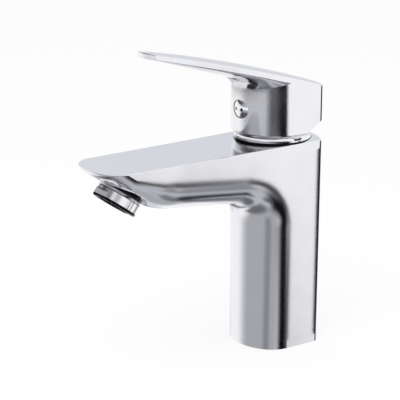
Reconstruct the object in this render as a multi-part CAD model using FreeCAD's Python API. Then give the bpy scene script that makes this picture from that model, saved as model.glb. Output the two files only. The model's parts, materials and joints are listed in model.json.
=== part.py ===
import FreeCAD, Part
import math
import os

# Single-lever basin mixer. Millimetres, +Z up, spout along -Y, X across.
# The origin is on the cartridge axis, in the plane of the basin deck.

V = FreeCAD.Vector
X_AXIS = V(1, 0, 0)
Y_AXIS = V(0, 1, 0)
Z_AXIS = V(0, 0, 1)

# Body outline
BODY_BASE_HALF = 21.2
BODY_TOP_HALF = 22.0
NOSE_START_Y = -4.0
BODY_NOSE_DEPTH = 16.9
BACK_Y = 21.8
BACK_R = 42.0
REAR_CORNER_R = 3.0
TOP_Z = 111.45
TOP_SLOPE = 0.025
EDGE_R = 0.35
BEND_INNER_R = 10.6
BEND_Z = 69.5
SPOUT_RISE_DEG = 5.3
SPOUT_NOSE_DEPTH = 16.4
SPOUT_TAPER = 0.0241
SPOUT_REACH = 110.0
TIP_ARC_R = 50.0
TIP_CORNER_R = 4.0
BOW_DEG = 35.0
BOW_NOSE_DEPTH = 7.7
BOW_START = 77.8
BOW_R = 34.0
BOW_EASE_START = 6.0
BOW_EASE_END = 34.0
SIDE_MID = 20.0

# Aerator axis and seat
OUTLET_Y = -96.3
OUTLET_Z = 88.7
OUTLET_TILT_DEG = 36.0
AERATOR_H = 7.3
AERATOR_R = 11.7
AERATOR_FLATS = 20.2
AERATOR_FLAT_H = 4.2
AERATOR_CHAMFER = 1.3
AERATOR_SEAT_MARGIN = 0.6
AERATOR_GROOVE = 0.4
AERATOR_THREAD_R = 10.75
AERATOR_THREAD_L = 5.0
AERATOR_BORE_R = 8.9
AERATOR_MOUTH_R = 10.5
AERATOR_MOUTH_H = 1.4
AERATOR_WASHER_T = 1.2
AERATOR_LIP = 0.7
SCREEN_T = 0.8
JET_R = 0.85
JET_PITCH = 2.35
JET_RINGS = 3
MESH_PITCH = 2.0
MESH_HOLE = 1.45

# Hollow column and waterways
DECK_WALL = 4.2
GASKET_INSET = 1.3
GASKET_W = 1.6
GASKET_H = 1.8
FLOOR_T = 20.0
INLET_X = 7.0
INLET_Y = 3.5
INLET_R = 5.0
INLET_L = 10.0
PORT_R = 2.8
FIXING_Y = 12.3
FIXING_R = 4.0
FIXING_L = 12.0
OUTLET_PORT_Y = -10.5
WATERWAY_R = 2.5
SPOUT_DUCT_HALF_W = 12.0
SPOUT_DUCT_HALF_H = 5.0
SPOUT_DUCT_RISE = 15.5

# Cartridge stack, from the top plane down
RING_SEAT_DEPTH = 0.85
RING_R = 20.2
RING_SEAT_GAP = 0.3
RING_WALL_H = 2.0
RING_DOME_H = 1.3
RING_T = 1.5
RING_HOLE_R = 14.6
RING_SPIGOT = 0.2
NUT_R = 18.9
NUT_RELIEF = 0.5
NUT_H = 6.4
NUT_HOLE_R = 13.3
NUT_SLOT_W = 4.0
NUT_SLOT_D = 2.0
NUT_SLOT_N = 6
CARTRIDGE_R = 17.4
CARTRIDGE_WALL = 1.7
HOUSING_H = 18.0
HOUSING_ROOF = 6.4
NECK_R = 13.0
NECK_H = 4.0
ROTOR_R = 11.55
ROTOR_PROUD = 0.6
ROTOR_FLANGE_T = 1.5
ROTOR_RAIL_T = 1.6
LIMIT_RING_H = 2.2
LIMIT_TAB_W = 3.0
BASE_H = 3.7
BASE_GAP = 0.3
PEG_R = 2.0
PEG_L = 2.5
PEG_X = 13.2
PEG_Y = -4.0
SEAL_W = 1.3
SEAL_H = 1.4
DISC_SEAL_T = 0.8
DISC_SEAL_PROUD = 0.2
DISC_SEAL_R = 14.0
DISC_T = 2.8
MOVING_DISC_R = 11.5
DRIVER_T = 4.0
DRIVER_HALF_L = 8.6
DRIVER_HALF_W = 9.8
DISC_OFFSET = 1.9

# Lever pivot and stem
PIN_R = 1.5
PIN_ABOVE_SHOULDER = 0.0
STEM_ARM = 9.6
STEM_BARREL_R = 2.4
STEM_HALF = 4.0
STEM_TOP_Z = 133.0
LIFT_DEG = 22.0
SWING_ROOM = 0.3

# Handle
HANDLE_HALF = 21.4
HANDLE_NOSE_DEPTH = 17.2
HANDLE_GAP = 3.35
HANDLE_EDGE_R = 1.6
LEVER_EDGE_R = 0.4
HANDLE_CAVITY_R = 19.6
HANDLE_CAVITY_H = 8.5
HANDLE_BOSS_R = 7.6
HANDLE_BOSS_RISE = 1.8
HEEL_START_Y = 4.2
HEEL_SLOPE = 0.62
LEVER_REAR_Z = 140.9
LEVER_REAR_Y = 14.0
LEVER_SLOPE = 0.292
LEVER_CURVE_R = 692.0
LEVER_CROWN = 1.45
LEVER_SIDE = 2.4
LEVER_BELLY = 3.7
LEVER_THINNING = 0.65
LEVER_REACH = 79.3
LEVER_TIP_R = 11.0
LEVER_TAPER_POWER = 1.7
THROAT_R = 7.0

# Screw and indicator plug in the handle's front
PLUG_Z = 128.4
PLUG_HALF_W = 6.6
PLUG_HALF_H = 4.8
PLUG_DEPTH = 3.4
PLUG_PROUD = 0.3
PLUG_STEM_R = 2.2
PLUG_STEM_L = 2.5
SCREW_R = 2.5
SCREW_L = 9.0
SCREW_HEX = 2.5
MARK_X = 2.4
MARK_R = 0.95
MARK_T = 1.0
MARK_PROUD = 0.12

# Sampling of the smooth skins
NOSE_STEPS = 16
BEND_STEPS = 10

# Clearances
RUN_CLEAR = 0.05
SLIDE_CLEAR = 0.1
FIT_CLEAR = 0.1
DISC_CLEAR = 0.03
BARREL_CLEAR = 0.2
OVERCUT = 5.0
SIDE_SLACK = 0.04

# Heights that follow from the stack
RING_SEAT_Z = TOP_Z - RING_SEAT_DEPTH
NUT_TOP_Z = RING_SEAT_Z - RING_SPIGOT
SHOULDER_Z = NUT_TOP_Z - NUT_H
HOUSING_Z = SHOULDER_Z - HOUSING_H
BASE_Z = HOUSING_Z - BASE_H
SEAT_Z = BASE_Z - BASE_GAP
FLOOR_Z = SEAT_Z - FLOOR_T
ROOF_Z = SHOULDER_Z - HOUSING_ROOF
FIXED_DISC_Z = HOUSING_Z + DISC_SEAL_PROUD
MOVING_DISC_Z = FIXED_DISC_Z + DISC_T + DISC_CLEAR
DRIVER_Z = MOVING_DISC_Z + DISC_T
DRIVER_TOP_Z = DRIVER_Z + DRIVER_T
FLANGE_TOP_Z = ROOF_Z - RUN_CLEAR
FLANGE_Z = FLANGE_TOP_Z - ROTOR_FLANGE_T
NECK_Z = SHOULDER_Z + NECK_H
ROTOR_TOP_Z = NECK_Z + ROTOR_PROUD
PIN_Z = SHOULDER_Z + PIN_ABOVE_SHOULDER
BARREL_Z = PIN_Z - STEM_ARM
HANDLE_Z = TOP_Z + HANDLE_GAP
CHAMBER_R = CARTRIDGE_R - CARTRIDGE_WALL
BORE_R = CARTRIDGE_R + FIT_CLEAR
NUT_BORE_R = NUT_R + FIT_CLEAR
COLUMN_FRONT_Y = NOSE_START_Y - BODY_NOSE_DEPTH
BEND_Y = COLUMN_FRONT_Y - BEND_INNER_R
HANDLE_FRONT_Y = NOSE_START_Y - HANDLE_NOSE_DEPTH
TIP_Y = -SPOUT_REACH
LEVER_TIP_Y = -LEVER_REACH

RISE = math.radians(SPOUT_RISE_DEG)
TILT = math.radians(OUTLET_TILT_DEG)
BOW = math.radians(BOW_DEG)
OUTLET = V(0, OUTLET_Y, OUTLET_Z)
OUT_UP = V(0, math.sin(TILT), math.cos(TILT))
OUT_FRONT = V(0, -math.cos(TILT), math.sin(TILT))

parts = {}


def cyl(r, h, base, axis=Z_AXIS):
    return Part.makeCylinder(r, h, base, axis)


def block(x0, x1, y0, y1, z0, z1):
    return Part.makeBox(x1 - x0, y1 - y0, z1 - z0, V(x0, y0, z0))


def ring(r_out, r_in, z0, z1):
    return cyl(r_out, z1 - z0, V(0, 0, z0)).cut(cyl(r_in, z1 - z0 + 2, V(0, 0, z0 - 1)))


def spun(points, origin, axis, radial):
    """Solid of revolution of (radius, height) points about an axis."""
    pts = [origin + radial * r + axis * h for r, h in points]
    face = Part.Face(Part.makePolygon(pts + [pts[0]]))
    return face.revolve(origin, axis, 360)


def at_outlet(r_front, x, h):
    """Point in the aerator's own frame: across, to the front, up the axis."""
    return OUTLET + X_AXIS * x + OUT_FRONT * r_front + OUT_UP * h


def nose_section(origin, up, half, depth, length):
    """Section with a half-elliptic nose at origin and flat sides along up."""
    nose = []
    for i in range(NOSE_STEPS + 1):
        t = math.pi * i / NOSE_STEPS
        nose.append(origin + X_AXIS * (half * math.cos(t)) + up * (depth * (1 - math.sin(t))))
    sweep = up * (math.pi * depth)
    return nose, sweep, origin - X_AXIS * half + up * length, origin + X_AXIS * half + up * length


def nose_curve(section):
    nose, sweep = section[:2]
    curve = Part.BSplineCurve()
    marks = [i / NOSE_STEPS for i in range(NOSE_STEPS + 1)]
    curve.interpolate(Points=nose, Parameters=marks, InitialTangent=sweep * -1, FinalTangent=sweep,
                      Scale=False)
    return curve


def section_face(section):
    nose, sweep, left, right = section
    return Part.Face(Part.Wire([nose_curve(section).toShape(), Part.makeLine(nose[-1], left),
                                Part.makeLine(left, right), Part.makeLine(right, nose[0])]))


def skin(sections):
    """Solid skinned smoothly through nose sections."""
    curves = [nose_curve(sec) for sec in sections]
    first = curves[0]
    rows = [[c.getPole(i + 1) for c in curves] for i in range(first.NbPoles)]
    left = [sec[2] for sec in sections]
    right = [sec[3] for sec in sections]
    last = len(sections) - 1
    marks = [k / last for k in range(last + 1)]

    def along(points):
        path = Part.BSplineCurve()
        if last < 3:
            path.buildFromPolesMultsKnots(points, [2] + [1] * (last - 1) + [2], marks, False, 1)
        else:
            path.interpolate(Points=points, Parameters=marks)
        return path

    guide = along(left)

    def sheet(lines, mults, knots, degree):
        grid = [along(line).getPoles() for line in lines]
        surface = Part.BSplineSurface()
        surface.buildFromPolesMultsKnots(grid, mults, guide.getMultiplicities(), knots, guide.getKnots(),
                                         False, False, degree, guide.Degree)
        return surface.toShape()

    flat = ([2, 2], [0.0, 1.0], 1)
    faces = [sheet(rows, first.getMultiplicities(), first.getKnots(), first.Degree),
             sheet([rows[-1], left], *flat), sheet([left, right], *flat), sheet([right, rows[0]], *flat),
             section_face(sections[0]), section_face(sections[-1])]
    shell = Part.makeShell(faces)
    shell.sewShape()
    solid = Part.makeSolid(shell)
    if solid.Volume < 0:
        solid.reverse()
    return solid


def rounded(corners):
    """Closed wire of straight runs with a radius at each corner: (x, y, z, r)."""
    n = len(corners)
    edges = []
    ends = []
    for i in range(n):
        p = V(*corners[i][:3])
        r = corners[i][3]
        a = (V(*corners[i - 1][:3]) - p).normalize()
        b = (V(*corners[(i + 1) % n][:3]) - p).normalize()
        if r == 0:
            ends.append((p, None, p))
            continue
        half = a.getAngle(b) / 2
        reach = r / math.tan(half)
        mid = p + (a + b).normalize() * (r / math.sin(half) - r)
        ends.append((p + a * reach, mid, p + b * reach))
    for i in range(n):
        start, mid, end = ends[i]
        if mid is not None:
            edges.append(Part.Arc(start, mid, end).toShape())
        nxt = ends[(i + 1) % n][0]
        if end.distanceToPoint(nxt) > 1e-6:
            edges.append(Part.makeLine(end, nxt))
    return Part.Wire(edges)


def corner_on_arc(half, radius, arc_r, arc_mid_y, sign):
    """Tangent points of a corner arc between a side at x=half and an end arc.

    sign is -1 for an end arc that bulges towards +Y and +1 towards -Y.
    """
    centre_y = arc_mid_y + sign * arc_r
    cx = half - radius
    cy = centre_y - sign * math.sqrt((arc_r - radius) ** 2 - cx * cx)
    k = arc_r / (arc_r - radius)
    touch = (cx * k, centre_y + (cy - centre_y) * k)
    mid_dir = V(cx * k - cx + radius, touch[1] - cy, 0)
    mid = V(cx, cy, 0) + mid_dir.normalize() * radius
    return (half, cy), (mid.x, mid.y), touch


def body_tip(half, z):
    """Edges of the spout tip in plan: corner, shallow arc, corner."""
    ts, tm, tt = corner_on_arc(half, TIP_CORNER_R, TIP_ARC_R, TIP_Y, 1)
    return [Part.Arc(V(*ts, z), V(*tm, z), V(*tt, z)).toShape(),
            Part.Arc(V(*tt, z), V(0, TIP_Y, z), V(-tt[0], tt[1], z)).toShape(),
            Part.Arc(V(-tt[0], tt[1], z), V(-tm[0], tm[1], z), V(-ts[0], ts[1], z)).toShape()]


def plan(rear_half, wide, tip, z):
    """Plan outline: rear arc and corners, slack sides, then the tip's own edges."""
    rs, rm, rt = corner_on_arc(rear_half, REAR_CORNER_R, BACK_R, BACK_Y, -1)
    start = tip[0].valueAt(tip[0].FirstParameter)
    end = V(-start.x, start.y, z)
    waist = (rs[1] + start.y) / 2

    def p(q, side=1):
        return V(q[0] * side, q[1], z)

    edges = [Part.Arc(p(rt, -1), V(0, BACK_Y, z), p(rt)).toShape(),
             Part.Arc(p(rt), p(rm), p(rs)).toShape(),
             Part.makeLine(p(rs), V(wide, waist, z)),
             Part.makeLine(V(wide, waist, z), start)]
    edges.extend(tip)
    edges.extend([Part.makeLine(end, V(-wide, waist, z)),
                  Part.makeLine(V(-wide, waist, z), p(rs, -1)),
                  Part.Arc(p(rs, -1), p(rm, -1), p(rt, -1)).toShape()])
    return Part.Wire(edges)


def column_plan(inset, z):
    """Outline of the column at the deck, drawn in by inset."""
    half = BODY_BASE_HALF - inset
    depth = BODY_NOSE_DEPTH - inset
    corner = max(REAR_CORNER_R - inset, 1.0)
    rs, rm, rt = corner_on_arc(half, corner, BACK_R - inset, BACK_Y - inset, -1)
    nose = Part.Ellipse(V(half, NOSE_START_Y, z), V(0, NOSE_START_Y + depth, z), V(0, NOSE_START_Y, z))
    front = Part.Arc(nose, math.pi, 2 * math.pi).toShape()
    right = V(half, NOSE_START_Y, z)
    left = V(-half, NOSE_START_Y, z)
    return Part.Wire([front, Part.makeLine(right, V(rs[0], rs[1], z)),
                      Part.Arc(V(rs[0], rs[1], z), V(rm[0], rm[1], z), V(rt[0], rt[1], z)).toShape(),
                      Part.Arc(V(rt[0], rt[1], z), V(0, BACK_Y - inset, z), V(-rt[0], rt[1], z)).toShape(),
                      Part.Arc(V(-rt[0], rt[1], z), V(-rm[0], rm[1], z), V(-rs[0], rs[1], z)).toShape(),
                      Part.makeLine(V(-rs[0], rs[1], z), left)])


def column_prism(inset, z0, z1):
    return Part.Face(column_plan(inset, z0)).extrude(V(0, 0, z1 - z0))


def half_at(z):
    return BODY_BASE_HALF + (BODY_TOP_HALF - BODY_BASE_HALF) * z / TOP_Z


def top_z(y):
    return TOP_Z + TOP_SLOPE * y


# Faucet body: one nose section run up the column, round the bend and along the spout
bend_end = math.pi / 2 - RISE
bend_at = V(0, BEND_Y, BEND_Z)
crest = math.radians(40)
crest_half = half_at(BEND_Z + (BACK_Y - BEND_Y - REAR_CORNER_R) * math.tan(crest))
spout_half = crest_half - SPOUT_TAPER * (NOSE_START_Y - BEND_Y)
section_len = 1.2 * math.hypot(BACK_Y - BEND_Y, top_z(BACK_Y) - BEND_Z)
column = [nose_section(V(0, COLUMN_FRONT_Y, z), Y_AXIS, half_at(z), BODY_NOSE_DEPTH, section_len)
          for z in (-OVERCUT, BEND_Z)]
bend = []
for k in range(BEND_STEPS + 1):
    share = k / BEND_STEPS
    turn = bend_end * share
    up = V(0, math.cos(turn), math.sin(turn))
    if turn < crest:
        half = half_at(BEND_Z + (BACK_Y - BEND_Y - REAR_CORNER_R) * math.tan(turn))
    else:
        half = crest_half + (spout_half - crest_half) * ((turn - crest) / (bend_end - crest)) ** 2
    depth = BODY_NOSE_DEPTH + (SPOUT_NOSE_DEPTH - BODY_NOSE_DEPTH) * share
    bend.append(nose_section(bend_at + up * BEND_INNER_R, up, half, depth, section_len))
spout_up = V(0, math.sin(RISE), math.cos(RISE))
spout_dir = V(0, -math.cos(RISE), math.sin(RISE))
spout_foot = bend_at + spout_up * BEND_INNER_R


def side_half(y):
    """Half-width of the spout's sides at a place along the spout."""
    return spout_half - SPOUT_TAPER * (spout_foot.y + spout_up.y * SIDE_MID - y) / math.cos(RISE)


def spout_section(foot, up, depth, length):
    return nose_section(foot, up, side_half(foot.y + up.y * SIDE_MID), depth, length)


bow_run = (BOW_START + spout_foot.y) / math.cos(RISE) - BOW_R * math.tan((BOW - RISE) / 2)
spout = [spout_section(spout_foot + spout_dir * run, spout_up, SPOUT_NOSE_DEPTH, section_len)
         for run in (0, bow_run)]

# Bow under the tip: the nose turns up, then flattens towards the front edge
bow_hub = spout_foot + spout_dir * bow_run + spout_up * BOW_R
bow_dir = V(0, -math.cos(BOW), math.sin(BOW))
bow_len = 0.9 * BOW_R
bow = []
for k in range(2 * BEND_STEPS + 1):
    run = BOW_EASE_END * k / (2 * BEND_STEPS)
    turn = min(RISE + run / BOW_R, BOW)
    up = V(0, math.sin(turn), math.cos(turn))
    foot = bow_hub - up * BOW_R + bow_dir * (run - BOW_R * (turn - RISE))
    share = max(run - BOW_EASE_START, 0) / (BOW_EASE_END - BOW_EASE_START)
    depth = SPOUT_NOSE_DEPTH + (BOW_NOSE_DEPTH - SPOUT_NOSE_DEPTH) * share ** 2 * (3 - 2 * share)
    bow.append(spout_section(foot, up, depth, bow_len))
prow_run = (foot.y - TIP_Y) / math.cos(BOW) + 2 * OVERCUT
prow = [bow[-1], spout_section(foot + bow_dir * prow_run, up, BOW_NOSE_DEPTH, bow_len)]
body = skin(column).fuse([skin(bend), skin(spout), skin(bow), skin(prow)])

tip_half = side_half(TIP_Y + TIP_CORNER_R)
outline_z = (-OVERCUT, TOP_Z + 4 * OVERCUT)
outlines = [plan(half_at(z) + SIDE_SLACK, 1.3 * BODY_TOP_HALF, body_tip(tip_half + SIDE_SLACK, z), z)
            for z in outline_z]
body = body.common(Part.makeLoft(outlines, True, True))

above = block(-60, 60, -200, 80, 0, 120)
top_lean = math.degrees(math.atan(TOP_SLOPE))
above.Placement = FreeCAD.Placement(V(0, 0, TOP_Z), FreeCAD.Rotation(X_AXIS, top_lean))
body = body.cut(above)
body = body.cut(block(-60, 60, -60, 60, -30, 0))

# Slanted seat for the aerator, square to the outlet axis
outlet_turn = FreeCAD.Rotation(X_AXIS, -OUTLET_TILT_DEG)
outlet_place = FreeCAD.Placement(OUTLET, outlet_turn)
seat_r = AERATOR_R + AERATOR_SEAT_MARGIN
body = body.cut(cyl(seat_r, 2 * seat_r, OUTLET + OUT_UP * AERATOR_H, OUT_UP * -1))

# Softened rim round the top face


def lies_on(edge, height):
    """True for an edge whose points all sit at the given height for their Y."""
    return all(abs(q.z - height(q.y)) < 0.001 for q in edge.discretize(5))


body = body.makeFillet(EDGE_R, [e for e in body.Edges if lies_on(e, top_z)])

# Column hollow, gasket groove, cartridge bore and nut bore
body = body.cut(column_prism(DECK_WALL, -OVERCUT, FLOOR_Z))
groove = column_prism(GASKET_INSET, 0, GASKET_H).cut(column_prism(GASKET_INSET + GASKET_W, -1, GASKET_H + 1))
body = body.cut(groove)
body = body.cut(cyl(BORE_R, SHOULDER_Z - SEAT_Z, V(0, 0, SEAT_Z)))
body = body.cut(cyl(NUT_BORE_R, TOP_Z, V(0, 0, SHOULDER_Z - NUT_RELIEF)))
body = body.cut(cyl(RING_R + RING_SEAT_GAP, TOP_Z, V(0, 0, RING_SEAT_Z)))

# Supply threads, ports, fixing thread and locating holes in the cartridge floor
floor_holes = []
for side in (-1, 1):
    floor_holes.append(cyl(INLET_R, INLET_L, V(side * INLET_X, INLET_Y, FLOOR_Z)))
    floor_holes.append(cyl(PORT_R, FLOOR_T, V(side * INLET_X, INLET_Y, FLOOR_Z)))
    peg_end = V(side * PEG_X, PEG_Y, SEAT_Z - PEG_L - BASE_GAP)
    floor_holes.append(cyl(PEG_R + FIT_CLEAR, PEG_L + BASE_GAP, peg_end))
floor_holes.append(cyl(FIXING_R, FIXING_L, V(0, FIXING_Y, FLOOR_Z)))

# Mixed-water way: down through the floor, up past the bend, along the spout to the aerator
rim = V(0, -BORE_R, SEAT_Z)
spread = (rim - bend_at).normalize()
climb_at = bend_at + spread * ((rim.distanceToPoint(bend_at) + BEND_INNER_R) / 2)
climb = V(0, -spread.z, spread.y)
elbow = climb_at + climb * ((OUTLET_PORT_Y - climb_at.y) / climb.y)
socket_top = OUTLET + OUT_UP * (AERATOR_H + AERATOR_THREAD_L + AERATOR_WASHER_T)
duct_start = spout_foot + spout_dir * SPOUT_DUCT_HALF_H + spout_up * SPOUT_DUCT_RISE
duct_run = (duct_start.y - socket_top.y) / math.cos(RISE) - 2
duct_corners = []
for sx, su in ((1, 1), (-1, 1), (-1, -1), (1, -1)):
    c = duct_start + X_AXIS * (sx * SPOUT_DUCT_HALF_W) + spout_up * (su * SPOUT_DUCT_HALF_H)
    duct_corners.append((c.x, c.y, c.z, SPOUT_DUCT_HALF_H * 0.9))
duct = Part.Face(rounded(duct_corners)).extrude(spout_dir * duct_run)
climb_len = (duct_start.y - SPOUT_DUCT_HALF_H - elbow.y) / climb.y
floor_holes.append(cyl(WATERWAY_R, SEAT_Z - elbow.z, V(0, OUTLET_PORT_Y, elbow.z)))
floor_holes.append(Part.makeSphere(WATERWAY_R, elbow))
floor_holes.append(cyl(WATERWAY_R, climb_len, elbow, climb))
floor_holes.append(duct)
floor_holes.append(cyl(AERATOR_THREAD_R + FIT_CLEAR, AERATOR_THREAD_L + AERATOR_WASHER_T + OVERCUT,
                       OUTLET + OUT_UP * (AERATOR_H - OVERCUT), OUT_UP))
body = body.cut(floor_holes)
parts["faucet_body"] = body

gasket = column_prism(GASKET_INSET + FIT_CLEAR, 0, GASKET_H)
parts["base_gasket"] = gasket.cut(column_prism(GASKET_INSET + GASKET_W - FIT_CLEAR, -1, GASKET_H + 1))

# Aerator: chromed housing, mesh screen, jet insert and washer
collar_h = AERATOR_H - AERATOR_CHAMFER - AERATOR_GROOVE
lip_top = AERATOR_MOUTH_H + AERATOR_LIP
thread_top = AERATOR_H + AERATOR_THREAD_L
housing = spun([(AERATOR_MOUTH_R, 0), (AERATOR_R - AERATOR_GROOVE, 0), (AERATOR_R, AERATOR_GROOVE),
                (AERATOR_R, collar_h), (AERATOR_R - AERATOR_GROOVE, collar_h),
                (AERATOR_R - AERATOR_GROOVE, collar_h + AERATOR_GROOVE),
                (AERATOR_R, collar_h + AERATOR_GROOVE), (AERATOR_R - AERATOR_CHAMFER / 2, AERATOR_H),
                (AERATOR_THREAD_R, AERATOR_H), (AERATOR_THREAD_R, thread_top), (AERATOR_BORE_R, thread_top),
                (AERATOR_BORE_R, lip_top), (AERATOR_BORE_R - AERATOR_LIP, lip_top),
                (AERATOR_BORE_R - AERATOR_LIP, AERATOR_MOUTH_H)], OUTLET, OUT_UP, OUT_FRONT)
for side in (-1, 1):
    flat = Part.makeBox(4 * AERATOR_R, AERATOR_R, AERATOR_FLAT_H + OVERCUT)
    flat.translate(V(-2 * AERATOR_R, AERATOR_FLATS / 2, -OVERCUT))
    if side < 0:
        flat.rotate(V(0, 0, 0), Z_AXIS, 180)
    flat.Placement = outlet_place.multiply(flat.Placement)
    housing = housing.cut(flat)
parts["aerator_housing"] = housing

screen_r = AERATOR_BORE_R - RUN_CLEAR
screen = cyl(screen_r, SCREEN_T, OUTLET + OUT_UP * lip_top, OUT_UP)
mesh = []
reach = int(screen_r / MESH_PITCH)
for i in range(-reach, reach + 1):
    for j in range(-reach, reach + 1):
        if math.hypot(i, j) * MESH_PITCH + MESH_HOLE < screen_r - AERATOR_LIP:
            hole = Part.makeBox(MESH_HOLE, MESH_HOLE, SCREEN_T + 2)
            hole.translate(V(i * MESH_PITCH - MESH_HOLE / 2, j * MESH_PITCH - MESH_HOLE / 2, lip_top - 1))
            hole.Placement = outlet_place.multiply(hole.Placement)
            mesh.append(hole)
parts["aerator_screen"] = screen.cut(mesh)

insert_h = lip_top + SCREEN_T
insert = cyl(screen_r, thread_top - insert_h, OUTLET + OUT_UP * insert_h, OUT_UP)
jets = []
for k in range(JET_RINGS + 1):
    for j in range(max(6 * k, 1)):
        a = 2 * math.pi * j / max(6 * k, 1)
        at = at_outlet(k * JET_PITCH * math.cos(a), k * JET_PITCH * math.sin(a), insert_h - 1)
        jets.append(cyl(JET_R, thread_top - insert_h + 2, at, OUT_UP))
parts["aerator_insert"] = insert.cut(jets)
washer = cyl(AERATOR_THREAD_R, AERATOR_WASHER_T, OUTLET + OUT_UP * thread_top, OUT_UP)
parts["aerator_washer"] = washer.cut(cyl(AERATOR_BORE_R - AERATOR_LIP, 4 * AERATOR_WASHER_T,
                                         OUTLET + OUT_UP * (thread_top - AERATOR_WASHER_T), OUT_UP))

# Cartridge: base with three ports, seals, ceramic discs and housing
ports = [V(-INLET_X, INLET_Y, 0), V(INLET_X, INLET_Y, 0), V(0, OUTLET_PORT_Y, 0)]
base = cyl(CARTRIDGE_R, BASE_H, V(0, 0, BASE_Z))
for side in (-1, 1):
    base = base.fuse(cyl(PEG_R, PEG_L + 1, V(side * PEG_X, PEG_Y, BASE_Z - PEG_L)))
seal_in = PORT_R + FIT_CLEAR
seal_out = seal_in + SEAL_W
seal_top = SEAT_Z + SEAL_H
disc_seal_z = HOUSING_Z + DISC_SEAL_PROUD - DISC_SEAL_T
base = base.cut([cyl(PORT_R, BASE_H, V(q.x, q.y, BASE_Z)) for q in ports])
base = base.cut([cyl(seal_out + FIT_CLEAR, seal_top - BASE_Z, V(q.x, q.y, BASE_Z)) for q in ports])
base = base.cut(cyl(DISC_SEAL_R + FIT_CLEAR, BASE_H, V(0, 0, disc_seal_z)))
parts["cartridge_base"] = base
seals = []
for q in ports:
    wall = cyl(seal_out, SEAL_H, V(q.x, q.y, SEAT_Z))
    seals.append(wall.cut(cyl(seal_in, SEAL_H + 2, V(q.x, q.y, SEAT_Z - 1))))
parts["port_seals"] = Part.makeCompound(seals)
disc_seal = cyl(DISC_SEAL_R, DISC_SEAL_T, V(0, 0, disc_seal_z))
disc_seal = disc_seal.cut([cyl(seal_in, DISC_SEAL_T + 2, V(q.x, q.y, disc_seal_z - 1)) for q in ports])
parts["disc_seal"] = disc_seal
fixed = cyl(CHAMBER_R - FIT_CLEAR, DISC_T, V(0, 0, FIXED_DISC_Z))
parts["fixed_disc"] = fixed.cut([cyl(PORT_R, DISC_T + 2, V(q.x, q.y, FIXED_DISC_Z - 1)) for q in ports])

shell = cyl(CARTRIDGE_R, HOUSING_H, V(0, 0, HOUSING_Z)).fuse(cyl(NECK_R, NECK_H, V(0, 0, SHOULDER_Z)))
shell = shell.cut(cyl(CHAMBER_R, ROOF_Z - HOUSING_Z, V(0, 0, HOUSING_Z)))
shell = shell.cut(cyl(ROTOR_R + RUN_CLEAR, HOUSING_ROOF + NECK_H + 1, V(0, 0, ROOF_Z - 1)))
parts["cartridge_housing"] = shell

limit_in = ROTOR_R + 2 * SLIDE_CLEAR
limit = ring(NECK_R, limit_in, NECK_Z, NECK_Z + LIMIT_RING_H)
tab = block(-LIMIT_TAB_W / 2, LIMIT_TAB_W / 2, limit_in, NECK_R, NECK_Z, NECK_Z + LIMIT_RING_H + 1)
parts["limit_ring"] = limit.fuse(tab.common(ring(NECK_R, limit_in, NECK_Z, TOP_Z + OVERCUT)))

nut = ring(NUT_R, NUT_HOLE_R, SHOULDER_Z, NUT_TOP_Z)
for k in range(NUT_SLOT_N):
    slot = block(NUT_HOLE_R - 1, NUT_HOLE_R + NUT_SLOT_D, -NUT_SLOT_W / 2, NUT_SLOT_W / 2,
                 NUT_TOP_Z - NUT_SLOT_D, NUT_TOP_Z + 1)
    slot.rotate(V(0, 0, 0), Z_AXIS, 360 * k / NUT_SLOT_N)
    nut = nut.cut(slot)
parts["retaining_nut"] = nut

# Dome ring: vertical wall, then a shallow dome that the handle rocks over
wall_z = RING_SEAT_Z + RING_WALL_H
dome_z = wall_z + RING_DOME_H
spigot_r = NUT_R - RUN_CLEAR
skirt_r = spigot_r - RING_T


def rz(r, z):
    return V(0, r, z)


crown_mid = rz((RING_R * 2 + RING_HOLE_R) / 3, wall_z + RING_DOME_H * 0.72)
dome = Part.Wire([Part.makeLine(rz(skirt_r, NUT_TOP_Z), rz(spigot_r, NUT_TOP_Z)),
                  Part.makeLine(rz(spigot_r, NUT_TOP_Z), rz(spigot_r, RING_SEAT_Z)),
                  Part.makeLine(rz(spigot_r, RING_SEAT_Z), rz(RING_R, RING_SEAT_Z)),
                  Part.makeLine(rz(RING_R, RING_SEAT_Z), rz(RING_R, wall_z)),
                  Part.Arc(rz(RING_R, wall_z), crown_mid, rz(RING_HOLE_R, dome_z)).toShape(),
                  Part.makeLine(rz(RING_HOLE_R, dome_z), rz(RING_HOLE_R, dome_z - RING_T)),
                  Part.makeLine(rz(RING_HOLE_R, dome_z - RING_T), rz(skirt_r, wall_z - RING_T / 2)),
                  Part.makeLine(rz(skirt_r, wall_z - RING_T / 2), rz(skirt_r, NUT_TOP_Z))])
parts["dome_ring"] = Part.Face(dome).revolve(V(0, 0, 0), Z_AXIS, 360)

# Rotor: turns in the housing with the lever, carries the pin and guides the driver
slot_half = STEM_HALF + SLIDE_CLEAR
lift = math.radians(LIFT_DEG)
swing_up = (STEM_HALF + (ROTOR_TOP_Z - PIN_Z) * math.sin(lift)) / math.cos(lift)
swing_down = max(STEM_HALF * (math.cos(lift) + math.sin(lift)), STEM_ARM * math.sin(lift) + STEM_BARREL_R)
rotor = cyl(ROTOR_R, ROTOR_TOP_Z - FLANGE_TOP_Z, V(0, 0, FLANGE_TOP_Z))
flange_r = CHAMBER_R - 3 * FIT_CLEAR
rotor = rotor.fuse(cyl(flange_r, ROTOR_FLANGE_T, V(0, 0, FLANGE_Z)))
rail_in = DRIVER_HALF_W + SLIDE_CLEAR
rail_z = DRIVER_Z + 3 * FIT_CLEAR
for side in (-1, 1):
    x0, x1 = sorted((side * rail_in, side * (rail_in + ROTOR_RAIL_T)))
    rail = block(x0, x1, -flange_r, flange_r, rail_z, FLANGE_Z + ROTOR_FLANGE_T / 2)
    rotor = rotor.fuse(rail.common(cyl(flange_r, HOUSING_H, V(0, 0, rail_z - 1))))
swing = (-swing_down - SWING_ROOM, swing_up + SWING_ROOM)
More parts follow.
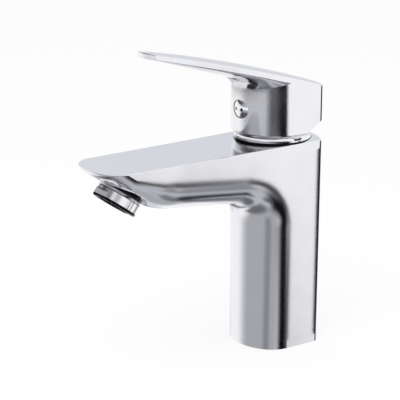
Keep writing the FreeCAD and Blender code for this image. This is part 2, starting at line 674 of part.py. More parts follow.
rotor = rotor.cut(block(-slot_half, slot_half, *swing, rail_z - 1, ROTOR_TOP_Z + 1))
pin_half = ROTOR_R - PIN_R / 2
pin = cyl(PIN_R, 2 * pin_half, V(-pin_half, 0, PIN_Z), X_AXIS)
parts["cartridge_rotor"] = rotor.cut(cyl(PIN_R, 4 * ROTOR_R, V(-2 * ROTOR_R, 0, PIN_Z), X_AXIS))
parts["pivot_pin"] = pin

# Driver and moving disc: slide across the rotor as the stem's foot swings
tongue_half = STEM_HALF - 1
driver = block(-DRIVER_HALF_W, DRIVER_HALF_W, DISC_OFFSET - DRIVER_HALF_L, DISC_OFFSET + DRIVER_HALF_L,
               DRIVER_Z, DRIVER_TOP_Z)
barrel_slot = STEM_BARREL_R + BARREL_CLEAR
parts["disc_driver"] = driver.cut(block(-tongue_half - BARREL_CLEAR, tongue_half + BARREL_CLEAR,
                                        -barrel_slot, barrel_slot, DRIVER_Z - 1, DRIVER_TOP_Z + 1))
moving = cyl(MOVING_DISC_R, DISC_T, V(0, DISC_OFFSET, MOVING_DISC_Z))
mixing_at = V(0, DISC_OFFSET - MOVING_DISC_R / 4, MOVING_DISC_Z)
parts["moving_disc"] = moving.cut(cyl(MOVING_DISC_R / 2, DISC_T * 0.6, mixing_at))

# Stem: square head in the handle, flat tongue and barrel foot in the driver
stem = block(-STEM_HALF, STEM_HALF, -STEM_HALF, STEM_HALF, PIN_Z - STEM_HALF, STEM_TOP_Z)
stem = stem.fuse(block(-tongue_half, tongue_half, -STEM_BARREL_R + 0.4, STEM_BARREL_R - 0.4, BARREL_Z, PIN_Z))
stem = stem.fuse(cyl(STEM_BARREL_R, 2 * tongue_half, V(-tongue_half, 0, BARREL_Z), X_AXIS))
parts["cartridge_stem"] = stem.cut(cyl(PIN_R + RUN_CLEAR, 4 * STEM_HALF, V(-2 * STEM_HALF, 0, PIN_Z), X_AXIS))

# Handle: the same nose section run up the block, through the throat and out along the lever
slope = math.atan(LEVER_SLOPE)
hub = V(0, LEVER_REAR_Y - LEVER_CURVE_R * math.sin(slope), LEVER_REAR_Z - LEVER_CURVE_R * math.cos(slope))
side_r = LEVER_CURVE_R - LEVER_SIDE
throat_y = HANDLE_FRONT_Y - THROAT_R
throat_z = hub.z + math.sqrt((side_r - LEVER_BELLY - THROAT_R) ** 2 - (throat_y - hub.y) ** 2)
throat = V(0, throat_y, throat_z)
from_hub = throat - hub
throat_end = math.atan2(from_hub.z, from_hub.y)
lever_run = NOSE_START_Y - LEVER_TIP_Y
handle_len = 1.4 * (BACK_Y - throat_y)


def lever_half(y):
    """Half-width of the lever in plan: full at the block, drawn in towards the tip."""
    v = max(NOSE_START_Y - y, 0) / lever_run
    straight = 1 - LEVER_TIP_R * 1.5 / lever_run
    u = min(v, straight)
    half = HANDLE_HALF * math.sqrt(1 - u ** LEVER_TAPER_POWER)
    fall = HANDLE_HALF ** 2 * LEVER_TAPER_POWER * u ** (LEVER_TAPER_POWER - 1) / (2 * half)
    return half - fall * (v - u)


def side_reach(turn):
    """Distance from the throat centre to the lever's lower side edge."""
    b = math.cos(turn) * from_hub.y + math.sin(turn) * from_hub.z
    return -b + math.sqrt(b * b - from_hub.dot(from_hub) + side_r ** 2)


def throat_section(turn, reach):
    u = V(0, math.cos(turn), math.sin(turn))
    half = lever_half(throat_y + reach * math.cos(turn))
    return nose_section(throat + u * THROAT_R, u, half, reach - THROAT_R, handle_len)


low, high = 0.0, throat_end
for k in range(60):
    turn = (low + high) / 2
    if side_reach(turn) * math.cos(turn) > NOSE_START_Y - throat_y:
        low = turn
    else:
        high = turn
cusp = low
shank = [nose_section(V(0, HANDLE_FRONT_Y, z), Y_AXIS, HANDLE_HALF, HANDLE_NOSE_DEPTH, handle_len)
         for z in (HANDLE_Z, throat.z)]
lower = []
upper = []
for k in range(BEND_STEPS + 1):
    turn = cusp * k / BEND_STEPS
    lower.append(throat_section(turn, (NOSE_START_Y - throat_y) / math.cos(turn)))
    turn = cusp + (throat_end - cusp) * k / BEND_STEPS
    upper.append(throat_section(turn, side_reach(turn)))
lever = [upper[-1]]
lever_y = throat_y + side_reach(throat_end) * math.cos(throat_end)
for k in range(1, BEND_STEPS + 1):
    y = lever_y + (LEVER_TIP_Y - OVERCUT / 2 - lever_y) * k / BEND_STEPS
    share = k / BEND_STEPS
    edge_r = side_r + LEVER_SIDE * LEVER_THINNING * share ** 1.3
    edge = V(0, y, hub.z + math.sqrt(edge_r ** 2 - (y - hub.y) ** 2))
    u = (edge - hub).normalize()
    belly = LEVER_BELLY * (1 - 0.95 * share ** 1.25)
    lever.append(nose_section(edge - u * belly, u, lever_half(y), belly, handle_len))
handle = skin(shank).fuse([skin(lower), skin(upper), skin(lever)])
tip_y = LEVER_TIP_Y + LEVER_TIP_R
lever_tip = Part.Arc(V(LEVER_TIP_R, tip_y, 0), V(0, LEVER_TIP_Y, 0), V(-LEVER_TIP_R, tip_y, 0)).toShape()
grip = Part.Face(plan(HANDLE_HALF + SIDE_SLACK, 1.3 * HANDLE_HALF, [lever_tip], 0))
handle = handle.common(grip.extrude(V(0, 0, 4 * TOP_Z)))

# Crowned top of the lever
crown_w = HANDLE_HALF * 1.3
crown_drop = LEVER_CROWN - LEVER_CROWN * (crown_w / HANDLE_HALF) ** 2
rear = V(0, LEVER_REAR_Y, LEVER_REAR_Z)
n = (rear - hub).normalize()
west = rear - X_AXIS * crown_w + n * crown_drop
east = rear + X_AXIS * crown_w + n * crown_drop
lid_h = n * (2 * handle_len)
lid = Part.Face(Part.Wire([Part.Arc(west, rear + n * LEVER_CROWN, east).toShape(),
                           Part.makeLine(east, east + lid_h), Part.makeLine(east + lid_h, west + lid_h),
                           Part.makeLine(west + lid_h, west)]))
lid.rotate(hub, X_AXIS, -math.degrees(2 * BACK_Y / LEVER_CURVE_R))
lid = lid.revolve(hub, X_AXIS, math.degrees((2 * BACK_Y + 2 * LEVER_REACH) / LEVER_CURVE_R))
handle = handle.cut(lid)

# Heel cut that lets the handle rock back
heel = block(-60, 60, 0, 80, -60, 0)
heel_lean = math.degrees(math.atan(HEEL_SLOPE))
heel.Placement = FreeCAD.Placement(V(0, HEEL_START_Y, HANDLE_Z), FreeCAD.Rotation(X_AXIS, heel_lean))
handle = handle.cut(heel)

# Softened edges: round the crowned top, then round the lower rim
top_faces = [f for f in handle.Faces if isinstance(f.Surface, Part.Toroid)]
handle = handle.makeFillet(LEVER_EDGE_R, [e for f in top_faces for e in f.Edges])
handle = handle.makeFillet(HANDLE_EDGE_R, [e for e in handle.Edges if lies_on(e, lambda y: HANDLE_Z)])

# Handle underside: hollow over the dome ring, boss and square socket for the stem
hollow = cyl(HANDLE_CAVITY_R, HANDLE_CAVITY_H + OVERCUT, V(0, 0, HANDLE_Z - OVERCUT))
hollow = hollow.cut(cyl(HANDLE_BOSS_R, HANDLE_CAVITY_H, V(0, 0, HANDLE_Z + HANDLE_BOSS_RISE)))
handle = handle.cut(hollow)
socket_half = STEM_HALF + RUN_CLEAR
handle = handle.cut(block(-socket_half, socket_half, -socket_half, socket_half,
                          HANDLE_Z - OVERCUT, STEM_TOP_Z))

# Grub screw and oval indicator plug
plug_back = HANDLE_FRONT_Y + PLUG_DEPTH


def oval(half_w, half_h, y0, y1):
    curve = Part.Ellipse(V(half_w, y0, PLUG_Z), V(0, y0, PLUG_Z + half_h), V(0, y0, PLUG_Z))
    return Part.Face(Part.Wire([curve.toShape()])).extrude(V(0, y1 - y0, 0))


def front_skin(proud):
    section = nose_section(V(0, HANDLE_FRONT_Y - proud, HANDLE_Z), Y_AXIS, HANDLE_HALF + proud,
                           HANDLE_NOSE_DEPTH + proud, handle_len)
    return section_face(section).extrude(V(0, 0, 2 * (PLUG_Z - HANDLE_Z)))


handle = handle.cut(oval(PLUG_HALF_W, PLUG_HALF_H, HANDLE_FRONT_Y - OVERCUT, plug_back))
screw_way = -socket_half - HANDLE_FRONT_Y + OVERCUT
handle = handle.cut(cyl(SCREW_R + RUN_CLEAR, screw_way, V(0, -socket_half, PLUG_Z), Y_AXIS * -1))
parts["handle"] = handle
screw = cyl(SCREW_R, SCREW_L, V(0, -STEM_HALF, PLUG_Z), Y_AXIS * -1)
hexagon = [V(SCREW_HEX / math.sqrt(3) * math.cos(math.pi * k / 3), -STEM_HALF - SCREW_L - 1,
             PLUG_Z + SCREW_HEX / math.sqrt(3) * math.sin(math.pi * k / 3)) for k in range(6)]
key = Part.Face(Part.makePolygon(hexagon + [hexagon[0]])).extrude(V(0, SCREW_L / 3 + 1, 0))
parts["grub_screw"] = screw.cut(key)

plug = oval(PLUG_HALF_W - FIT_CLEAR, PLUG_HALF_H - FIT_CLEAR, plug_back, HANDLE_FRONT_Y - OVERCUT)
plug = plug.common(front_skin(PLUG_PROUD))
plug = plug.fuse(cyl(PLUG_STEM_R, PLUG_STEM_L + 1, V(0, plug_back - 1, PLUG_Z), Y_AXIS))
for name, side in (("hot_mark", -1), ("cold_mark", 1)):
    dot = cyl(MARK_R, PLUG_DEPTH + OVERCUT, V(side * MARK_X, HANDLE_FRONT_Y + MARK_T, PLUG_Z), Y_AXIS * -1)
    parts[name] = dot.common(front_skin(PLUG_PROUD + MARK_PROUD))
    plug = plug.cut(dot)
parts["indicator_plug"] = plug

os.makedirs("parts", exist_ok=True)
for name, shape in parts.items():
    shape.exportStep("parts/" + name + ".step")
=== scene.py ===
import json
import math

import bpy
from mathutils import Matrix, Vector


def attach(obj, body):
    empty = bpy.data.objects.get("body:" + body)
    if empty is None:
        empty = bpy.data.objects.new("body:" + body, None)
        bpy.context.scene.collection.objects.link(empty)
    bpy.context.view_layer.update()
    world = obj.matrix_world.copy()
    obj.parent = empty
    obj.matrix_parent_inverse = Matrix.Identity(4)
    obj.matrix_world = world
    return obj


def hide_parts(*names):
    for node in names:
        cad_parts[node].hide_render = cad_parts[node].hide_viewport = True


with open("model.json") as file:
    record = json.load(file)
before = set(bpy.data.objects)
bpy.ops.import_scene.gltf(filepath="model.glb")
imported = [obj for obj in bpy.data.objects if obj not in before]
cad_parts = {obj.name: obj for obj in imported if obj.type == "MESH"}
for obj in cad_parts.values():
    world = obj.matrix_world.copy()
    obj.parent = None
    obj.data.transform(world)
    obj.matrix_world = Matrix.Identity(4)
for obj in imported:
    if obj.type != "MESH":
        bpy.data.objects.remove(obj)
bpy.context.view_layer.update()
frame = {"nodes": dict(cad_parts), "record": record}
nodes = frame["nodes"]
scene = bpy.context.scene
scene.view_settings.view_transform = "Standard"

MM_PER_M = 1000
WHITE = (1, 1, 1, 1)

# Camera at the photograph's viewing angle, in metres, with lens and sensor in millimetres
CAMERA_AT = Vector((0.5115, -0.3820, 0.2565))
CAMERA_AZIMUTH = math.radians(56.66)
CAMERA_ELEVATION = math.radians(15.76)
CAMERA_LENS = 111.78
CAMERA_SENSOR = 36.0
CAMERA_NEAR = 0.01

# Floor, plain light all round and key lamp, in metres and watts
FLOOR_HALF = 3
FLOOR_COLOUR = (0.9, 0.9, 0.9, 1)
FLOOR_GLOW = 0.85
PLAIN_STRENGTH = 0.85
KEY_AT = Vector((0.3, -0.6, 1.1))
KEY_AIM = Vector((0, 0, 0.08))
KEY_SIZE = 0.8
KEY_POWER = 6.0

# The aerator's lip and its neck above the collar are painted black as the shadow in its mouth and in
# the gap below the body
# Aerator's axis, the top of its lip and of its collar along it, and the neck's fade, in metres
OUTLET = Vector((0, -0.0963, 0.0887))
OUTLET_TILT = math.radians(36.0)
LIP_H = 0.0013
COLLAR_H = 0.0073
NECK_FADE = 0.0003

# Top of the shadow line round the dome ring's foot, and the fade of a dark edge, in metres
RING_LINE_Z = 0.11215
EDGE_FADE = 0.0001

# Body's top plane (height and slope along Y), how far from it and from the foot the body's
# blends look soft, and how far they are softened, in metres
TOP_Z = 0.11145
TOP_SLOPE = 0.025
SOFT_START = 0.003
SOFT_FULL = 0.006
SOFT_REACH = 0.005
SOFT_SAMPLES = 8

# Skirt under the handle's front half: radius and height of its profile in millimetres,
# then in degrees its ends either side of the front and the length of their taper, and the
# least of the taper that is left at the tips
SKIRT_OUTER = [(20.15, 112.66), (20.15, 114.15), (20.08, 114.38), (19.9, 114.5)]
SKIRT_INNER = [(19.45, 114.5), (19.22, 114.42), (19.1, 114.25), (19.1, 113.5)]
SKIRT_END = 88.0
SKIRT_EASE = 7.0
SKIRT_LEAST = 0.04
SKIRT_STEPS = 72

# Domed plug in the handle's front and its two marks, in millimetres
PLUG_Z = 128.4
PLUG_HALF_W = 6.5
PLUG_HALF_H = 4.7
PLUG_FRONT_Y = -22.0
PLUG_CROWN = 1.1
PLUG_WALL = 1.6
PLUG_RINGS = 10
PLUG_STEPS = 64
NOSE_CURVE = 0.0192
MARK_X = 2.4
MARK_R = 1.05
MARK_CROWN = 0.16
MARK_SINK = 0.04
MARK_WALL = 0.12
MARK_RINGS = 5
MARK_STEPS = 32

# Edges of a made piece that bend by more than this stay sharp
SHARP_ANGLE = math.radians(35)

# White studio and the cards and flags that stand in it.
# Each has azimuths and elevations in degrees where it starts, is full, is still full and ends.
# Azimuth 0 is in front of the spout and 90 on its cold side. A flag that ends past 180 counts
# azimuths from 0 to 360, any other from -180 to 180.
STUDIO_WHITE = (0.97, 0.97, 0.98, 1)
PALE_GREY = (0.52, 0.525, 0.545, 1)
GREY = (0.41, 0.415, 0.435, 1)
MID_GREY = (0.25, 0.255, 0.275, 1)
STEEL_GREY = (0.155, 0.16, 0.17, 1)
DARK_GREY = (0.075, 0.075, 0.085, 1)
BLACK = (0.002, 0.002, 0.004, 1)
SOFT_BLACK = (0.015, 0.015, 0.02, 1)
PALE_LILAC = (0.50, 0.505, 0.55, 1)
LILAC = (0.70, 0.71, 0.76, 1)
FLAGS = [
    {"az": (-1, 0, 360, 361), "el": (-92, -91, -76, -62), "tone": PALE_LILAC},
    {"az": (-60, -24, 62, 88), "el": (-84, -78, -10.6, -8.6), "tone": GREY},
    {"az": (-60, -24, 62, 88), "el": (0, 6, 18, 40), "tone": GREY},
    {"az": (20, 33, 40, 52), "el": (-44, -30, -17, -14), "tone": MID_GREY},
    {"az": (-80, -60, 34, 72), "el": (-86, -80, -62, -46), "tone": STEEL_GREY},
    {"az": (-40, -18, 20, 36), "el": (-15, -12.5, -10.6, -8.6), "tone": PALE_GREY},
    {"az": (22, 48, 90, 104), "el": (-16, -13, -9, -6), "tone": DARK_GREY},
    {"az": (64, 84, 152, 168), "el": (-82, -74, -44, -36), "tone": PALE_LILAC},
    {"az": (78, 87, 97, 105), "el": (-70, -63, -52, -44), "tone": STEEL_GREY},
    {"az": (116, 126, 136, 144), "el": (-54, -47, -32, -24), "tone": MID_GREY},
    {"az": (112, 119, 123, 128), "el": (-34, -27, -18, -14.2), "tone": STEEL_GREY},
    {"az": (58, 88, 106, 125), "el": (-60, -42, -9, -6), "tone": BLACK, "slant": 1.3},
    {"az": (133, 140, 190, 218), "el": (-28, -24, -11, -4), "tone": SOFT_BLACK},
    {"az": (134, 158, 184, 214), "el": (-78, -70, -60, -50), "tone": STEEL_GREY},
    {"az": (142, 156, 182, 200), "el": (-67, -64, -60, -55), "tone": SOFT_BLACK},
    {"az": (194, 208, 254, 270), "el": (-86, -80, -62, -50), "tone": GREY},
    {"az": (236, 242, 262, 270), "el": (-60, -52, -26, -18), "tone": LILAC},
    {"az": (243, 248, 251, 256), "el": (-80, -70, -30, -18), "tone": SOFT_BLACK, "slant": -1.25},
    {"az": (212, 225, 240, 262), "el": (-8, -2, 12, 40), "tone": LILAC},
    {"az": (-104, -76, -40, -14), "el": (5, 10, 16.5, 19.5), "tone": DARK_GREY},
    {"az": (-80, -60, 22, 44), "el": (17, 21, 40, 50), "tone": MID_GREY},
    {"az": (-56, -40, -12, 8), "el": (17, 21, 40, 50), "tone": DARK_GREY},
    {"az": (-100, -80, 80, 130), "el": (33, 41, 82, 88), "tone": MID_GREY},
    {"az": (-100, -80, -34, -14), "el": (33, 41, 70, 78), "tone": SOFT_BLACK},
]

# A slanted flag bends at the fold's elevation. It leans one way going up from there, and half as
# much the same way going down. At the rest lean, in degrees, it stands at its own azimuths.
SLANT_FOLD = -23.0
SLANT_BELOW = -0.5
SLANT_REST = 6.0

# Noise in every finish: its detail, the span of it that tone and roughness follow, and the
# depth of relief as a share of the grain
NOISE_DETAIL = 4.0
NOISE_SPAN = (0.3, 0.7)
RELIEF_SHARE = 0.1
# Colour of the painted shade in a piece's own hollows and the samples that find them, then the colour
# of painted shadow lines
HOLLOW_SHADE_COLOUR = (0.02, 0.02, 0.025, 1)
HOLLOW_SAMPLES = 12
SHADOW_COLOUR = (0.012, 0.012, 0.014, 1)

# Sockets of Blender's Mix node for each kind of data: two inputs and the output
MIX_SOCKETS = {"RGBA": (6, 7, 2), "VECTOR": (4, 5, 1)}


def clear_graph(owner):
    """Empty node graph of a material or world."""
    owner.use_nodes = True
    owner.node_tree.nodes.clear()
    return owner.node_tree


def add(graph, kind, inputs=None, **settings):
    """New node whose inputs are linked to sockets or set to plain values."""
    node = graph.nodes.new(kind)
    for key, value in settings.items():
        setattr(node, key, value)
    for key, value in (inputs or {}).items():
        socket = node.inputs[key]
        if isinstance(value, bpy.types.NodeSocket):
            graph.links.new(value, socket)
        else:
            socket.default_value = value
    return node


def math_node(graph, operation, *values):
    """Result of one Math operation on sockets or plain numbers."""
    return add(graph, "ShaderNodeMath", dict(enumerate(values)), operation=operation).outputs[0]


def ease(graph, value, low, high, to_low=0.0, to_high=1.0):
    """Smooth step from one number to another as the value goes from low to high."""
    inputs = {"Value": value, "From Min": low, "From Max": high, "To Min": to_low, "To Max": to_high}
    node = add(graph, "ShaderNodeMapRange", inputs, interpolation_type="SMOOTHSTEP")
    return node.outputs["Result"]


def blend(graph, kind, share, first, second):
    """The first colour or vector at share 0, the second at share 1."""
    one, two, out = MIX_SOCKETS[kind]
    return add(graph, "ShaderNodeMix", {0: share, one: first, two: second}, data_type=kind).outputs[out]


def window(graph, value, stops):
    """1 between the two middle stops, easing to 0 at the outer ones."""
    rise = ease(graph, value, stops[0], stops[1])
    fall = ease(graph, value, stops[2], stops[3], 1.0, 0.0)
    return math_node(graph, "MULTIPLY", rise, fall)


def make_camera():
    """Camera that sees the part as the photograph does."""
    data = bpy.data.cameras.new("camera")
    data.sensor_width = CAMERA_SENSOR
    data.lens = CAMERA_LENS
    data.clip_start = CAMERA_NEAR
    camera = bpy.data.objects.new("camera", data)
    camera.location = CAMERA_AT
    camera.rotation_euler = (math.pi / 2 - CAMERA_ELEVATION, 0, CAMERA_AZIMUTH)
    scene.collection.objects.link(camera)
    scene.camera = camera


def make_world():
    """White for the camera, plain for diffuse light, and the flags in the studio for gloss."""
    world = bpy.data.worlds.new("studio")
    scene.world = world
    graph = clear_graph(world)
    coords = add(graph, "ShaderNodeTexCoord")
    axes = add(graph, "ShaderNodeSeparateXYZ", {0: coords.outputs["Generated"]})
    forward = math_node(graph, "MULTIPLY", axes.outputs["Y"], -1.0)
    azimuth = math_node(graph, "DEGREES", math_node(graph, "ARCTAN2", axes.outputs["X"], forward))
    full_azimuth = math_node(graph, "FLOORED_MODULO", azimuth, 360.0)
    elevation = math_node(graph, "DEGREES", math_node(graph, "ARCSINE", axes.outputs["Z"]))
    above = math_node(graph, "SUBTRACT", elevation, SLANT_FOLD)
    below = math_node(graph, "MULTIPLY", above, SLANT_BELOW)
    lean = math_node(graph, "SUBTRACT", math_node(graph, "MAXIMUM", above, below), SLANT_REST)
    shade = STUDIO_WHITE
    for flag in FLAGS:
        around = full_azimuth if flag["az"][3] > 180 else azimuth
        if "slant" in flag:
            around = math_node(graph, "MULTIPLY_ADD", lean, flag["slant"], around)
        across = window(graph, around, flag["az"])
        upward = window(graph, elevation, flag["el"])
        share = math_node(graph, "MULTIPLY", across, upward)
        shade = blend(graph, "RGBA", share, shade, flag["tone"])
    path = add(graph, "ShaderNodeLightPath")
    studio = add(graph, "ShaderNodeBackground", {"Color": shade, "Strength": 1.0})
    plain = add(graph, "ShaderNodeBackground", {"Color": WHITE, "Strength": PLAIN_STRENGTH})
    white = add(graph, "ShaderNodeBackground", {"Color": WHITE, "Strength": 1.0})
    lit = add(graph, "ShaderNodeMixShader",
              {0: path.outputs["Is Glossy Ray"], 1: plain.outputs[0], 2: studio.outputs[0]})
    seen = add(graph, "ShaderNodeMixShader",
               {0: path.outputs["Is Camera Ray"], 1: lit.outputs[0], 2: white.outputs[0]})
    add(graph, "ShaderNodeOutputWorld", {"Surface": seen.outputs[0]})


def make_floor():
    """Pale floor that glows for the camera, keeps the part's shadow and stays out of its gloss."""
    corners = [(-FLOOR_HALF, -FLOOR_HALF, 0), (FLOOR_HALF, -FLOOR_HALF, 0),
               (FLOOR_HALF, FLOOR_HALF, 0), (-FLOOR_HALF, FLOOR_HALF, 0)]
    mesh = bpy.data.meshes.new("floor")
    mesh.from_pydata(corners, [], [(0, 1, 2, 3)])
    floor = bpy.data.objects.new("floor", mesh)
    scene.collection.objects.link(floor)
    floor.visible_glossy = False
    material = bpy.data.materials.new("floor")
    graph = clear_graph(material)
    path = add(graph, "ShaderNodeLightPath")
    diffuse = add(graph, "ShaderNodeBsdfDiffuse", {"Color": FLOOR_COLOUR})
    glow = add(graph, "ShaderNodeEmission", {"Color": WHITE, "Strength": 1.0})
    share = math_node(graph, "MULTIPLY", path.outputs["Is Camera Ray"], FLOOR_GLOW)
    mixed = add(graph, "ShaderNodeMixShader", {0: share, 1: diffuse.outputs[0], 2: glow.outputs[0]})
    add(graph, "ShaderNodeOutputMaterial", {"Surface": mixed.outputs[0]})
    mesh.materials.append(material)


def make_key():
    """Soft lamp in front and above, out of the part's gloss."""
    data = bpy.data.lights.new("key", "AREA")
    data.shape = "DISK"
    data.size = KEY_SIZE
    data.energy = KEY_POWER
    key = bpy.data.objects.new("key", data)
    key.location = KEY_AT
    key.rotation_euler = (KEY_AIM - KEY_AT).to_track_quat("-Z", "Y").to_euler()
    key.visible_glossy = False
    scene.collection.objects.link(key)


def outlet_painted_shadow(graph, coords):
    """1 on the aerator's lip and on its neck above the collar, where shadow is painted black."""
    up = (0, math.sin(OUTLET_TILT), math.cos(OUTLET_TILT))
    arm = add(graph, "ShaderNodeVectorMath", {0: coords, 1: OUTLET}, operation="SUBTRACT")
    along = add(graph, "ShaderNodeVectorMath", {0: arm.outputs[0], 1: up}, operation="DOT_PRODUCT")
    height = along.outputs["Value"]
    lip = ease(graph, height, LIP_H, LIP_H + EDGE_FADE, 1.0, 0.0)
    neck = ease(graph, height, COLLAR_H - NECK_FADE, COLLAR_H)
    return math_node(graph, "MAXIMUM", lip, neck)


def ring_painted_shadow(graph, coords):
    """1 in the shadow line round the dome ring's foot."""
    height = add(graph, "ShaderNodeSeparateXYZ", {0: coords}).outputs["Z"]
    return ease(graph, height, RING_LINE_Z - EDGE_FADE, RING_LINE_Z, 1.0, 0.0)


def underside_soft(graph, coords):
    """1 on the body's column, bend and underside, 0 near its crisp top edge and foot."""
    axes = add(graph, "ShaderNodeSeparateXYZ", {0: coords})
    top = math_node(graph, "MULTIPLY_ADD", axes.outputs["Y"], TOP_SLOPE, TOP_Z)
    depth = math_node(graph, "SUBTRACT", top, axes.outputs["Z"])
    below_top = ease(graph, depth, SOFT_START, SOFT_FULL)
    above_foot = ease(graph, axes.outputs["Z"], SOFT_START, SOFT_FULL)
    return math_node(graph, "MULTIPLY", below_top, above_foot)


def finish_material(name, colour, rough, grain, metallic=0.0, bump=0.0, mottle=0.0, gloss=0.5,
                    cavity_shade=None, painted_shadow=None, soft=None):
    """Procedural finish: noise of grain size (metres) varies tone, roughness and relief.

    rough is the roughness at both ends of the noise, mottle the share of tone lost at one end,
    and gloss the shader's specular level. Painted shade in the piece's own hollows takes a reach in
    metres and two shares of open air: hollows are darkest at the first and plain at the second.
    The painted shadow is a function that gives the share of the surface painted black as shadow,
    and soft one that gives the share that has soft blends.
    """
    material = bpy.data.materials.new(name)
    graph = clear_graph(material)
    coords = add(graph, "ShaderNodeTexCoord").outputs["Object"]
    texture = {"Vector": coords, "Scale": 1 / grain, "Detail": NOISE_DETAIL}
    noise = add(graph, "ShaderNodeTexNoise", texture).outputs["Fac"]
    dull = [channel * (1 - mottle) for channel in colour]
    shade = blend(graph, "RGBA", ease(graph, noise, *NOISE_SPAN), (*colour, 1), (*dull, 1))
    # Painted shade: hollows that ambient occlusion finds on the piece are darkened
    if cavity_shade:
        reach, shut, clear = cavity_shade
        hollow = add(graph, "ShaderNodeAmbientOcclusion", {"Distance": reach},
                     samples=HOLLOW_SAMPLES, only_local=True)
        openness = ease(graph, hollow.outputs["AO"], shut, clear)
        shade = blend(graph, "RGBA", openness, HOLLOW_SHADE_COLOUR, shade)
    # Painted shadow: black where the mask gives 1
    if painted_shadow:
        shade = blend(graph, "RGBA", painted_shadow(graph, coords), shade, SHADOW_COLOUR)
    roughness = ease(graph, noise, *NOISE_SPAN, *rough)
    shader = add(graph, "ShaderNodeBsdfPrincipled",
                 {"Base Color": shade, "Metallic": metallic, "Roughness": roughness,
                  "Specular IOR Level": gloss})
    if bump:
        ripple = add(graph, "ShaderNodeBump",
                     {"Strength": bump, "Distance": grain * RELIEF_SHARE, "Height": noise})
        graph.links.new(ripple.outputs["Normal"], shader.inputs["Normal"])
    if soft:
        sharp = add(graph, "ShaderNodeNewGeometry").outputs["Normal"]
        eased = add(graph, "ShaderNodeBevel", {"Radius": SOFT_REACH}, samples=SOFT_SAMPLES)
        normal = blend(graph, "VECTOR", soft(graph, coords), sharp, eased.outputs["Normal"])
        graph.links.new(normal, shader.inputs["Normal"])
    add(graph, "ShaderNodeOutputMaterial", {"Surface": shader.outputs[0]})
    return material


# Finish of each material slot, and what differs in the chrome of single nodes. Chrome has painted
# shade in each piece's own hollows, the handle's deeper; the dome ring's foot and the aerator's
# lip and neck have painted shadow
CHROME = dict(colour=(0.905, 0.907, 0.93), rough=(0.10, 0.115), grain=0.012, metallic=1.0,
              mottle=0.02, cavity_shade=(0.03, 0.42, 0.82))
FINISHES = {
    "chrome": CHROME,
    "brass": dict(colour=(0.78, 0.58, 0.28), rough=(0.2, 0.34), grain=0.003, metallic=1.0,
                  bump=0.1, mottle=0.15),
    "rubber": dict(colour=(0.03, 0.03, 0.032), rough=(0.6, 0.8), grain=0.0008,
                   bump=0.15, mottle=0.3),
    "ceramic": dict(colour=(0.88, 0.87, 0.83), rough=(0.15, 0.25), grain=0.002, mottle=0.05),
    "cartridge_plastic": dict(colour=(0.18, 0.2, 0.23), rough=(0.4, 0.55), grain=0.001,
                              bump=0.1, mottle=0.12),
    "pale_plastic": dict(colour=(0.82, 0.82, 0.80), rough=(0.3, 0.45), grain=0.001,
                         bump=0.08, mottle=0.05),
    "steel": dict(colour=(0.6, 0.6, 0.61), rough=(0.22, 0.36), grain=0.001, metallic=1.0,
                  bump=0.08, mottle=0.1),
    "red_mark": dict(colour=(0.16, 0.004, 0.008), rough=(0.55, 0.7), grain=0.0006,
                     mottle=0.15, gloss=0.1),
    "blue_mark": dict(colour=(0.006, 0.009, 0.13), rough=(0.55, 0.7), grain=0.0006,
                      mottle=0.15, gloss=0.1),
}
NODE_CHROME = {
    "faucet_body": dict(rough=(0.136, 0.142), soft=underside_soft),
    "handle": dict(cavity_shade=(0.02, 0.62, 0.94)),
    "dome_ring": dict(painted_shadow=ring_painted_shadow),
    "aerator_housing": dict(painted_shadow=outlet_painted_shadow),
}
MATERIALS = {slot: finish_material(slot, **finish) for slot, finish in FINISHES.items()}


def make_piece(name, points, faces, body, slot, node=None):
    """A smooth mesh piece from points in millimetres, riding on a body."""
    mesh = bpy.data.meshes.new(name)
    mesh.from_pydata([[c / MM_PER_M for c in point] for point in points], [], faces)
    mesh.polygons.foreach_set("use_smooth", [True] * len(faces))
    mesh.set_sharp_from_angle(angle=SHARP_ANGLE)
    mesh.materials.append(MATERIALS[slot])
    piece = bpy.data.objects.new(name, mesh)
    scene.collection.objects.link(piece)
    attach(piece, body)
    if node:
        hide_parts(node)


def make_skirt():
    """Lip that turns with the handle and closes the gap above the dome ring at the front."""
    profile = SKIRT_OUTER + SKIRT_INNER
    count = len(profile)
    (start_r, start_z), (end_r, end_z) = profile[0], profile[-1]
    points = []
    for step in range(SKIRT_STEPS + 1):
        turn = SKIRT_END * (2 * step / SKIRT_STEPS - 1)
        taper = min(1, (SKIRT_END - abs(turn)) / SKIRT_EASE)
        share = math.sqrt(max(SKIRT_LEAST, taper))
        side, front = math.sin(math.radians(turn)), -math.cos(math.radians(turn))
        for r, z in profile:
            foot = start_z + (end_z - start_z) * (r - start_r) / (end_r - start_r)
            points.append((r * side, r * front, foot + (z - foot) * share))
    faces = []
    for step in range(SKIRT_STEPS):
        a, b = step * count, (step + 1) * count
        for i in range(count):
            after = (i + 1) % count
            faces.append((a + i, a + after, b + after, b + i))
    faces.append(tuple(range(count))[::-1])
    faces.append(tuple(range(SKIRT_STEPS * count, (SKIRT_STEPS + 1) * count)))
    make_piece("handle_skirt", points, faces, "swivel", "chrome")


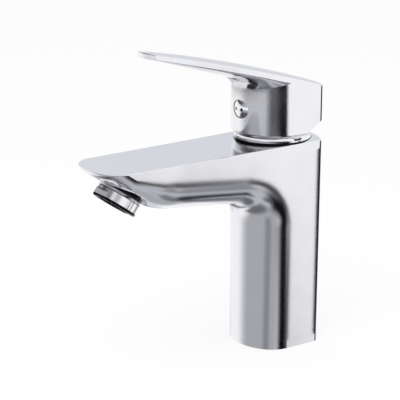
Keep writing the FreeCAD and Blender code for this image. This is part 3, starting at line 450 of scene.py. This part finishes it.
def plug_y(x, z):
    """Front of the domed plug."""
    spread = (x / PLUG_HALF_W) ** 2 + ((z - PLUG_Z) / PLUG_HALF_H) ** 2
    return PLUG_FRONT_Y + NOSE_CURVE * x * x + PLUG_CROWN * spread


def make_cap(name, node, slot, centre, half_w, half_h, wall, rings, steps, sink=0.0, crown=0.0):
    """Closed oval cap along the plug's front: rings out to the rim, a wall and a back.
    Its rim lies behind the plug's front by sink, and its middle stands up by crown."""
    points = [(centre, plug_y(centre, PLUG_Z) + sink - crown, PLUG_Z)]
    for ring in range(1, rings + 2):
        share = min(ring, rings) / rings
        back = wall if ring > rings else 0.0
        for k in range(steps):
            turn = 2 * math.pi * k / steps
            x = centre + half_w * share * math.cos(turn)
            z = PLUG_Z + half_h * share * math.sin(turn)
            y = plug_y(x, z) + sink - crown * (1 - share ** 2) + back
            points.append((x, y, z))
    faces = [(0, 1 + k, 1 + (k + 1) % steps) for k in range(steps)]
    for ring in range(rings):
        a, b = 1 + ring * steps, 1 + (ring + 1) * steps
        for k in range(steps):
            after = (k + 1) % steps
            faces.append((a + k, b + k, b + after, a + after))
    faces.append(tuple(range(1 + rings * steps, 1 + (rings + 1) * steps))[::-1])
    make_piece(name, points, faces, "lever", slot, node)


def make_plug():
    """Domed plug in the handle's front, with a red mark on its hot side and a blue one opposite."""
    make_cap("plug_cap", "indicator_plug", "chrome", 0, PLUG_HALF_W, PLUG_HALF_H, PLUG_WALL,
             PLUG_RINGS, PLUG_STEPS)
    for name, side, slot in (("hot", -1, "red_mark"), ("cold", 1, "blue_mark")):
        make_cap(name + "_dot", name + "_mark", slot, side * MARK_X, MARK_R, MARK_R, MARK_WALL,
                 MARK_RINGS, MARK_STEPS, MARK_SINK, MARK_CROWN)


make_camera()
make_world()
make_floor()
make_key()
for part in frame["record"]["subparts"]:
    data = nodes[part["node"]].data
    data.materials.clear()
    data.materials.append(MATERIALS[part["material_slot"]])
for node, changes in NODE_CHROME.items():
    nodes[node].data.materials[0] = finish_material(node + "_chrome", **{**CHROME, **changes})
make_skirt()
make_plug()
